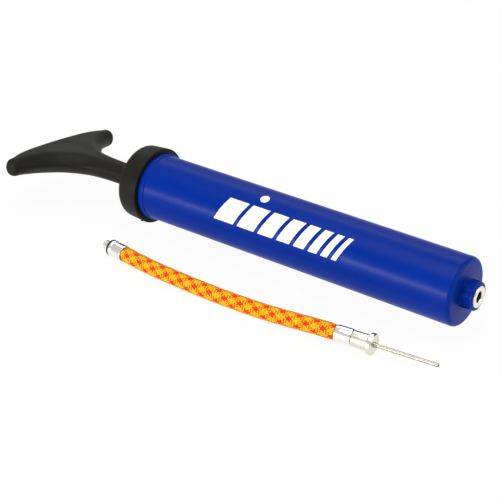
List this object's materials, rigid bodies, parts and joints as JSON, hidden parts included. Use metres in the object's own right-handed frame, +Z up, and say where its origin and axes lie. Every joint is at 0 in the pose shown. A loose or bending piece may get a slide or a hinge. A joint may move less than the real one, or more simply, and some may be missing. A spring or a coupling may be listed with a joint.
{
  "type": "ball inflation pump",
  "caption": "Hand pump for sports balls: a round barrel with a T-handled plunger and a threaded nozzle, with its braided hose and screw-in needle lying beside it.",
  "frame": {"origin": "the middle of the pump's length and width, on the surface that the pump lies on; the hose set isn't counted", "axes": "+X along the barrel from the handle towards the nozzle, +Z up, -Y towards the hose set that lies beside the barrel"},
  "size_m": [0.2998, 0.1022, 0.045],
  "materials": {
    "blue_plastic": "glossy royal blue moulded plastic",
    "black_plastic": "satin warm black moulded plastic",
    "white_plastic": "natural white acetal",
    "black_rubber": "matte black nitrile rubber",
    "nickel_plate": "nickel plated brass, polished",
    "steel": "plated steel",
    "hose_braid": "gold yellow textile braid with orange red flecks"
  },
  "bodies": {
    "barrel": {"barrel": "blue_plastic", "nozzle_insert": "nickel_plate", "end_cap": "black_plastic", "guide_bush": "white_plastic", "bumper_ring": "black_rubber"},
    "guide_ring": {"piston_guide_ring": "white_plastic"},
    "plunger": {"handle": "black_plastic", "plunger_rod": "steel", "rod_plug": "steel", "piston_body": "white_plastic", "piston_front_plate": "white_plastic", "piston_washer": "steel", "piston_screw": "steel"},
    "seal": {"piston_o_ring": "black_rubber"},
    "hose": {"hose_braid": "hose_braid", "hose_liner": "black_rubber", "ferrule_pump_end": "nickel_plate", "ferrule_needle_end": "nickel_plate", "hose_connector": "nickel_plate", "connector_seal": "black_rubber", "hose_socket": "nickel_plate"},
    "needle_seal": {"needle_washer": "black_rubber"},
    "needle": {"needle_hub": "nickel_plate", "needle_tube": "steel"}
  },
  "joints": [
    {"name": "plunger_slide", "type": "slide", "parent": "barrel", "child": "guide_ring", "axis": [-1, 0, 0], "range_m": [0, 0.176]},
    {"name": "plunger_spin", "type": "hinge", "parent": "guide_ring", "child": "plunger", "pos_m": [0, 0, 0.0225], "axis": [1, 0, 0], "continuous": true},
    {"name": "seal_float", "type": "slide", "parent": "plunger", "child": "seal", "axis": [1, 0, 0], "range_m": [0, 0.0015]},
    {"name": "hose_lift", "type": "slide", "parent": "barrel", "child": "hose", "axis": [0, 0, 1], "range_m": [0, 0.1]},
    {"name": "needle_out", "type": "slide", "parent": "hose", "child": "needle_seal", "axis": [0.9965, 0.0837, 0], "range_m": [0, 0.004]},
    {"name": "needle_spin", "type": "hinge", "parent": "needle_seal", "child": "needle", "pos_m": [0.09405, -0.04915, 0.0059], "axis": [0.9965, 0.0837, 0], "range_deg": [0, 1800]}
  ],
  "couplings": [
    {"joint": "needle_spin", "follows": "needle_out", "rad_per_m": 7854}
  ]
}
